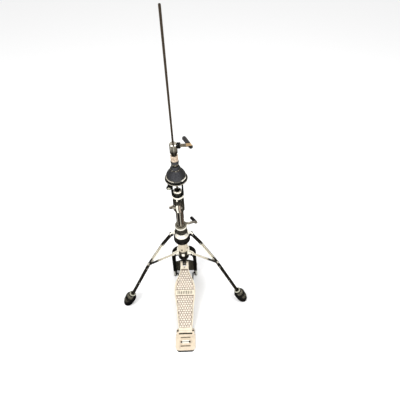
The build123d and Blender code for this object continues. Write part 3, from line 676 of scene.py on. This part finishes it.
def board_half_width(reach):
    """The footboard's half width at a distance from the heel hinge."""
    for (near, near_half), (far, far_half) in zip(BOARD_SIDE, BOARD_SIDE[1:]):
        if near <= reach <= far:
            share = (reach - near) / (far - near)
            eased = share * share * (3 - 2 * share)
            return near_half + eased * (far_half - near_half)
    return BOARD_SIDE[-1][1]


def board_place():
    """The footboard's plane: X across, Y from the heel hinge to the toe, Z out of the top face."""
    along = (TOE - HINGE).normalized()
    across = Vector((1, 0, 0))
    up = across.cross(along)
    return Matrix.Translation(HINGE) @ Matrix((across, along, up)).transposed().to_4x4()


def field_half(reach):
    """The half width of the footboard's sunken field."""
    return board_half_width(min(max(reach, FIELD_REACH[0]), FIELD_REACH[1])) - RIM_WIDTH - FIELD_MARGIN


def ring_of(made, centre, radius, level, corners=6):
    """A ring of vertices about a point of the board's plane, cut off where the field ends."""
    ring = []
    for step in range(corners):
        turn = math.radians(30) + 2 * math.pi * step / corners
        reach = centre[1] + radius * math.sin(turn)
        reach = min(max(reach, FIELD_REACH[0] + FIELD_MARGIN), FIELD_REACH[1] - FIELD_MARGIN)
        limit = field_half(reach)
        across = min(max(centre[0] + radius * math.cos(turn), -limit), limit)
        ring.append(made.verts.new((across, reach, level)))
    return ring


def close_stack(made, rings):
    """Skin a stack of vertex rings and close both its ends."""
    count = len(rings[0])
    for lower, upper in zip(rings, rings[1:]):
        for step in range(count):
            following = (step + 1) % count
            made.faces.new((lower[step], lower[following], upper[following], upper[step]))
    made.faces.new(rings[-1])
    made.faces.new(rings[0][::-1])


def tread_spots():
    """The places of the studs: staggered rows over the field, but none on the plain band."""
    row_step = STUD_PITCH * math.sqrt(3) / 2
    row = 0
    reach = FIELD_REACH[0] + 0.005
    while reach < FIELD_REACH[1] - 0.002:
        if not PLAIN_BAND[0] - BAND_CLEARANCE < reach < PLAIN_BAND[1] + BAND_CLEARANCE:
            for column in range(-5, 6):
                across = (column + 0.5 * (row % 2)) * STUD_PITCH
                if abs(across) <= field_half(reach) + 0.001:
                    yield across, reach
        reach += row_step
        row += 1


def tread_pattern(finishes):
    """Six-sided studs with pale tips of painted highlight on the footboard's darker field."""
    studs = bmesh.new()
    tips = bmesh.new()
    for spot in tread_spots():
        close_stack(studs, [ring_of(studs, spot, radius, FIELD_LEVEL + rise)
                            for radius, rise in STUD_PROFILE])
        if abs(spot[0]) < field_half(spot[1]) - 0.003:
            close_stack(tips, [ring_of(tips, spot, radius, FIELD_LEVEL + rise, 12)
                               for radius, rise in TIP_PROFILE])
    for name, made, finish in (("tread_studs", studs, "tread"), ("tread_highlight_tips", tips, "tread_highlight_tip")):
        bmesh.ops.dissolve_degenerate(made, dist=0.00002, edges=made.edges)
        made.transform(board_place())
        add_piece(name, finish_mesh(made, name), finishes[finish], "pedal", "cast_aluminium", 20)


def strip_mesh(name, outline, bottom, top, edge, place):
    """A plate with softened edges over an outline of (across, reach) points."""
    middle = Vector((0, 0))
    for point in outline:
        middle += Vector(point) / len(outline)
    made = bmesh.new()
    rings = []
    for inset, level in ((0.0, bottom), (0.0, top - edge), (edge, top)):
        ring = []
        for point in outline:
            inward = (middle - Vector(point)).normalized() * inset * 1.4
            ring.append(made.verts.new((point[0] + inward.x, point[1] + inward.y, level)))
        rings.append(ring)
    close_stack(made, rings)
    bmesh.ops.recalc_face_normals(made, faces=made.faces)
    made.transform(place)
    return finish_mesh(made, name)


def rounded_bar(half_length, half_width, middle=(0.0, 0.0), steps=8):
    """The outline of a bar with round ends, lying across."""
    points = []
    for way in (1, -1):
        for step in range(steps + 1):
            turn = math.pi * (step / steps - 0.5) + (math.pi if way < 0 else 0)
            points.append((middle[0] + way * (half_length - half_width) + half_width * math.cos(turn),
                           middle[1] + half_width * math.sin(turn)))
    return points


def field_outline(near, far, margin, steps=60):
    """The outline of the footboard's field between two distances from the hinge."""
    side = []
    for step in range(steps + 1):
        reach = near + (far - near) * step / steps
        side.append((field_half(reach) + margin, reach))
    return side + [(-across, reach) for across, reach in reversed(side)]


def field_sheet(finishes):
    """The darker floor of the footboard's field, and the plain ribbed band across it."""
    place = board_place()
    floor = field_outline(FIELD_REACH[0] + 0.0008, FIELD_REACH[1] - 0.0008, 0.0004)
    sheet = strip_mesh("tread_floor", floor, FIELD_LEVEL - 0.0004, FIELD_LEVEL + 0.0002, 0.0001, place)
    add_piece("tread_floor", sheet, finishes["tread_floor"], "pedal", "cast_aluminium", 20)
    strip = field_outline(*PLAIN_BAND, 0.0008, 12)
    band = strip_mesh("band", strip, FIELD_LEVEL, FIELD_LEVEL + 0.0014, 0.0005, place)
    add_piece("plain_band", band, finishes["cast_aluminium"], "pedal", "cast_aluminium", 20)
    middle = (PLAIN_BAND[0] + PLAIN_BAND[1]) / 2
    ribs = []
    for count in range(-4, 5):
        spot = Matrix.Translation((RIB_PITCH * count, middle, 0))
        upright = place @ spot @ Matrix.Rotation(math.pi / 2, 4, "Z")
        ribs.append(strip_mesh("rib", rounded_bar(*RIB_HALF_SIZE), FIELD_LEVEL + 0.001,
                               FIELD_LEVEL + 0.0020, 0.0004, upright))
    add_piece("band_ribs", join_meshes("band_ribs", ribs), finishes["rib"], "pedal", "black_rubber", 20)


SOCKET_SCREW = ((0, 0.0006), (0.0014, 0.0006), (0.0018, 0.0018), (0.0030, 0.0020), (0.0035, 0.0014),
                (0.0036, 0.0), (0, 0.0))


def screw_heads(name, spots, finish, body, slot):
    """Socket screws standing upright on level places."""
    heads = [lathe("head", SOCKET_SCREW, 32, Matrix.Translation(spot)) for spot in spots]
    add_piece(name, join_meshes(name, heads), finish, body, slot)


def pedal_screws(finishes):
    """The footboard's toe screw, the heel plate's two dark screws and the two that hold the hinge pin."""
    toe = board_place() @ Matrix.Translation((0, TOE_SCREW_REACH, RIM_LEVEL))
    toe_screw = lathe("toe_screw", SOCKET_SCREW, 32, toe)
    add_piece("toe_screw", toe_screw, finishes["zinc_steel"], "pedal", "zinc_steel")
    black = finishes["black_plastic"]
    heel_spots = [(across, WINDOW_Y, WINDOW_FLOOR) for across in (-HEEL_SCREW_X, HEEL_SCREW_X)]
    screw_heads("heel_screws", heel_spots, black, "base", "black_plastic")
    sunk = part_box("heel_plate")[1][2] - HINGE_SCREW_SINK
    hinge_spots = [(across, HINGE.y, sunk) for across in (-HINGE_SCREW_X, HINGE_SCREW_X)]
    screw_heads("hinge_screws", hinge_spots, black, "base", "black_plastic")


def heel_details(finishes):
    """The pale two-bar inlay in the heel plate's dark window, and the dark grip strips on its ridges."""
    level = Matrix.Identity(4)
    pocket = strip_mesh("pocket", rounded_bar(*WINDOW_HALF_SIZE, (0, WINDOW_Y)), WINDOW_FLOOR - 0.0003,
                        WINDOW_FLOOR + 0.0002, 0.0001, level)
    add_piece("heel_window", pocket, finishes["window"], "base", "black_rubber", 20)
    bars = [strip_mesh("bar", rounded_bar(*INLAY_HALF_SIZE, (0, WINDOW_Y + way * INLAY_OFFSET)),
                       WINDOW_FLOOR, WINDOW_FLOOR + 0.0016, 0.0004, level)
            for way in (-1, 1)]
    inlay = join_meshes("heel_inlay", bars)
    add_piece("heel_inlay", inlay, finishes["inlay"], "base", "cast_aluminium", 20)
    grips = [strip_mesh("grip", rounded_bar(*GRIP_HALF_SIZE, (0, ridge)), RIDGE_TOP - 0.0003,
                        RIDGE_TOP + 0.0005, 0.0002, level)
             for ridge in RIDGES_Y]
    add_piece("heel_grips", join_meshes("heel_grips", grips), finishes["grip"], "base", "black_rubber", 20)


def felt_washers(finishes):
    """Felt parts with soft swollen edges in place of the plain turned solids."""
    seat_profile = ((0.0096, 0.6536), (0.0222, 0.6536), (0.0266, 0.6570), (0.0291, 0.6604),
                    (0.0292, 0.6665), (0.0304, 0.6685), (0.0306, 0.6710), (0.0300, 0.6745),
                    (0.0284, 0.6785), (0.0262, 0.6822), (0.0236, 0.6860), (0.0208, 0.6900),
                    (0.0182, 0.6938), (0.0163, 0.6962), (0.0150, 0.6969), (0.0096, 0.6969))
    top_profile = ((0.0096, 0.7002), (0.0142, 0.7002), (0.0146, 0.7015), (0.0140, 0.7040),
                   (0.0130, 0.7070), (0.0118, 0.7083), (0.0096, 0.7085))
    clutch_profile = ((0.0061, 0.7216), (0.0116, 0.7216), (0.0124, 0.7226), (0.0125, 0.7255),
                      (0.0125, 0.7280), (0.0123, 0.7296), (0.0115, 0.7304), (0.0061, 0.7304))
    felt = finishes["dark_felt"]
    seat_felts = [lathe("main", seat_profile, 96), lathe("top", top_profile, 64)]
    seat_mesh = join_meshes("seat_felt", seat_felts)
    seat_piece = add_piece("seat_felt_pads", seat_mesh, felt, "seat", "dark_felt", 80)
    clutch_mesh = lathe("clutch_felt", clutch_profile, 64)
    clutch_piece = add_piece("clutch_felt_pad", clutch_mesh, felt, "clutch", "dark_felt", 80)
    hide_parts("seat_felts")
    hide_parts("clutch_felt")


def seat_trim(finishes):
    """The bright ring on the seat cup's flange, and the ring on its rim with painted highlights at its left
    and right.
    """
    flange = ((0.0350, 0.6590), (0.0359, 0.6588), (0.0364, 0.6580), (0.0366, 0.6568), (0.0363, 0.6556),
              (0.0356, 0.6556), (0.0354, 0.6575))
    rim = ((0.0297, 0.6664), (0.0322, 0.6655), (0.0328, 0.6664), (0.0326, 0.6678), (0.0314, 0.6686),
           (0.0300, 0.6684))
    rings = (("seat_flange_ring", flange, "chrome"), ("seat_rim_ring", rim, "cup_rim"))
    for name, profile, finish in rings:
        add_piece(name, lathe(name, profile, 96), finishes[finish], "seat", "chrome")


def clutch_boss(finishes):
    """The round boss through which the clutch's wing bolt screws in, with a bright rim."""
    across = Matrix.Translation((0, 0, CLUTCH_BOLT_HEIGHT)) @ Matrix.Rotation(math.pi / 2, 4, "Y")
    body = ((0.0068, 0.0100), (0.0082, 0.0100), (0.0090, 0.0112), (0.0092, 0.0190), (0.0086, 0.0202),
            (0.0068, 0.0202))
    rim = ((0.0060, 0.0196), (0.0078, 0.0198), (0.0080, 0.0206), (0.0072, 0.0213), (0.0060, 0.0210))
    turned = (("clutch_boss", body, "black_plastic"), ("clutch_boss_rim", rim, "zinc_steel"))
    for name, profile, slot in turned:
        add_piece(name, lathe(name, profile, 48, across), finishes[slot], "clutch", slot)


def knob_cap(finishes):
    """The pale cap set into the tilter's thumb screw."""
    profile = ((0, 0.0), (0.0046, 0.0), (0.0050, 0.0006), (0.0046, 0.0013), (0.0030, 0.0017), (0, 0.0018))
    low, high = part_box("tilter_screw")
    centre = Vector(((low[0] + high[0]) / 2, low[1], (low[2] + high[2]) / 2))
    cap = lathe("cap", profile, 32, stand_on(centre, Vector((0, -1, 0))))
    add_piece("thumb_screw_cap", cap, finishes["cream"], "tilt_screw", "zinc_steel")


# --- Stage, light and camera ----------------------------------------------------------------------

# What polished parts see of the floor: brightness by the turn about the stand's axis (0.25 faces the pedal)
ROOM_STREAKS = ((0.00, (0.45, 0.42, 0.36)), (0.05, (0.45, 0.42, 0.36)), (0.075, 0.010), (0.190, 0.010),
                (0.205, (0.30, 0.27, 0.22)), (0.225, (0.20, 0.18, 0.15)), (0.238, 0.010), (0.252, 0.012),
                (0.262, (0.98, 0.94, 0.82)), (0.300, (0.98, 0.94, 0.82)), (0.312, 0.010), (0.36, 0.012),
                (0.385, (0.15, 0.11, 0.08)), (0.54, (0.11, 0.085, 0.065)), (0.57, 0.010), (0.95, 0.012),
                (1.00, (0.45, 0.42, 0.36)))
PALE_FROM = 0.9
PALE_OVER = 0.3
FLOOR_HALF = 6.0
FLOOR_DROP = 0.0002

# What polished parts see of the walls, from low to high: (position, brightness)
WALLS = ((0.30, 0.9), (0.62, 1.0), (0.70, 0.10), (0.84, 0.03), (0.98, 0.06), (1.0, 0.9))

# Lamps: name, place, diameter and power in watts; all of them shine at one point on the stand's axis
LAMPS = (("key", (-1.6, -1.4, 2.6), 1.6, 55), ("fill", (1.9, -0.8, 2.2), 1.4, 30))
LAMP_TARGET = (0, 0, 0.4)


def floor_material():
    """Pale matt floor, in which polished parts see a room with dark and pale stretches all round."""
    material = bpy.data.materials.new("studio_floor")
    material.use_nodes = True
    nodes = material.node_tree.nodes
    links = material.node_tree.links
    matt = nodes["Principled BSDF"]
    matt.inputs["Base Color"].default_value = (0.93, 0.93, 0.93, 1)
    matt.inputs["Roughness"].default_value = 0.9
    matt.inputs["Specular IOR Level"].default_value = 0.0
    place = nodes.new("ShaderNodeTexCoord")
    turn = nodes.new("ShaderNodeTexGradient")
    turn.gradient_type = "RADIAL"
    shades = nodes.new("ShaderNodeValToRGB")
    fill_ramp(shades, ROOM_STREAKS)
    distance = nodes.new("ShaderNodeVectorMath")
    distance.operation = "LENGTH"
    far = nodes.new("ShaderNodeMapRange")
    far.inputs["From Min"].default_value = PALE_FROM
    far.inputs["From Max"].default_value = PALE_FROM + PALE_OVER
    fade = nodes.new("ShaderNodeMix")
    fade.data_type = "RGBA"
    fade.inputs[MIX_SECOND].default_value = (0.98, 0.93, 0.80, 1)
    glow = nodes.new("ShaderNodeEmission")
    rays = nodes.new("ShaderNodeLightPath")
    either = nodes.new("ShaderNodeMixShader")
    links.new(place.outputs["Object"], turn.inputs["Vector"])
    links.new(turn.outputs["Fac"], shades.inputs["Fac"])
    links.new(place.outputs["Object"], distance.inputs[0])
    links.new(distance.outputs["Value"], far.inputs["Value"])
    links.new(far.outputs["Result"], fade.inputs["Factor"])
    links.new(shades.outputs["Color"], fade.inputs[MIX_FIRST])
    links.new(fade.outputs[MIX_RESULT], glow.inputs["Color"])
    links.new(rays.outputs["Is Glossy Ray"], either.inputs["Fac"])
    links.new(matt.outputs["BSDF"], either.inputs[1])
    links.new(glow.outputs["Emission"], either.inputs[2])
    links.new(either.outputs["Shader"], nodes["Material Output"].inputs["Surface"])
    return material


def build_stage():
    """The floor, a hair under the stand's feet."""
    made = bmesh.new()
    bmesh.ops.create_grid(made, x_segments=4, y_segments=4, size=FLOOR_HALF)
    mesh = finish_mesh(made, "floor")
    mesh.materials.append(floor_material())
    floor = bpy.data.objects.new("studio_floor", mesh)
    bpy.context.collection.objects.link(floor)
    floor.location.z = -FLOOR_DROP


def build_world():
    """White all round for soft light; polished parts see pale walls, dark gaps and a darker ceiling."""
    world = bpy.data.worlds.new("studio")
    bpy.context.scene.world = world
    world.use_nodes = True
    nodes = world.node_tree.nodes
    links = world.node_tree.links
    soft = nodes["Background"]
    soft.inputs["Color"].default_value = (1, 1, 1, 1)
    soft.inputs["Strength"].default_value = 0.92
    room = nodes.new("ShaderNodeBackground")
    place = nodes.new("ShaderNodeTexCoord")
    split = nodes.new("ShaderNodeSeparateXYZ")
    gaps = nodes.new("ShaderNodeTexNoise")
    gaps.inputs["Scale"].default_value = 2.6
    gaps.inputs["Detail"].default_value = 1.0
    height = nodes.new("ShaderNodeMath")
    height.operation = "MULTIPLY_ADD"
    height.inputs[1].default_value = 0.7
    shades = nodes.new("ShaderNodeValToRGB")
    fill_ramp(shades, [(position, (tint, 0.95 * tint, 0.83 * tint)) for position, tint in WALLS])
    rays = nodes.new("ShaderNodeLightPath")
    either = nodes.new("ShaderNodeMixShader")
    links.new(place.outputs["Generated"], split.inputs["Vector"])
    links.new(place.outputs["Generated"], gaps.inputs["Vector"])
    links.new(split.outputs["Z"], height.inputs[0])
    links.new(gaps.outputs["Fac"], height.inputs[2])
    links.new(height.outputs["Value"], shades.inputs["Fac"])
    links.new(shades.outputs["Color"], room.inputs["Color"])
    links.new(rays.outputs["Is Glossy Ray"], either.inputs["Fac"])
    links.new(soft.outputs["Background"], either.inputs[1])
    links.new(room.outputs["Background"], either.inputs[2])
    links.new(either.outputs["Shader"], nodes["World Output"].inputs["Surface"])


def add_light(name, place, target, size, power):
    """A round lamp that shines at a target."""
    lamp = bpy.data.lights.new(name, "AREA")
    lamp.shape = "DISK"
    lamp.size = size
    lamp.energy = power
    light = bpy.data.objects.new(name, lamp)
    bpy.context.collection.objects.link(light)
    light.location = place
    light.rotation_euler = (Vector(target) - Vector(place)).to_track_quat("-Z", "Y").to_euler()


def build_camera():
    """The camera stands over the pedal end and looks down at the stand, very slightly rolled."""
    heading, pitch, roll = CAMERA_HEADING, CAMERA_PITCH, CAMERA_ROLL
    level_share = math.cos(pitch)
    ahead = Vector((math.sin(heading) * level_share, math.cos(heading) * level_share, -math.sin(pitch)))
    level = Vector((math.cos(heading), -math.sin(heading), 0))
    above = level.cross(ahead)
    right = math.cos(roll) * level + math.sin(roll) * above
    up = -math.sin(roll) * level + math.cos(roll) * above
    lens = bpy.data.cameras.new("camera")
    lens.lens = CAMERA_LENS
    lens.sensor_width = 36.0
    camera = bpy.data.objects.new("camera", lens)
    bpy.context.collection.objects.link(camera)
    turn = Matrix((right, up, -ahead)).transposed()
    camera.matrix_world = Matrix.Translation(CAMERA_PLACE) @ turn.to_4x4()
    bpy.context.scene.camera = camera


build_camera()
bpy.context.scene.view_settings.view_transform = "Standard"
finishes = build_finishes()
paint_frame(finishes)
leg_rivets(finishes)
boot_details(finishes)
field_sheet(finishes)
tread_pattern(finishes)
pedal_screws(finishes)
heel_details(finishes)
felt_washers(finishes)
seat_trim(finishes)
clutch_boss(finishes)
knob_cap(finishes)
build_stage()
build_world()
for name, place, size, power in LAMPS:
    add_light(name, place, LAMP_TARGET, size, power)
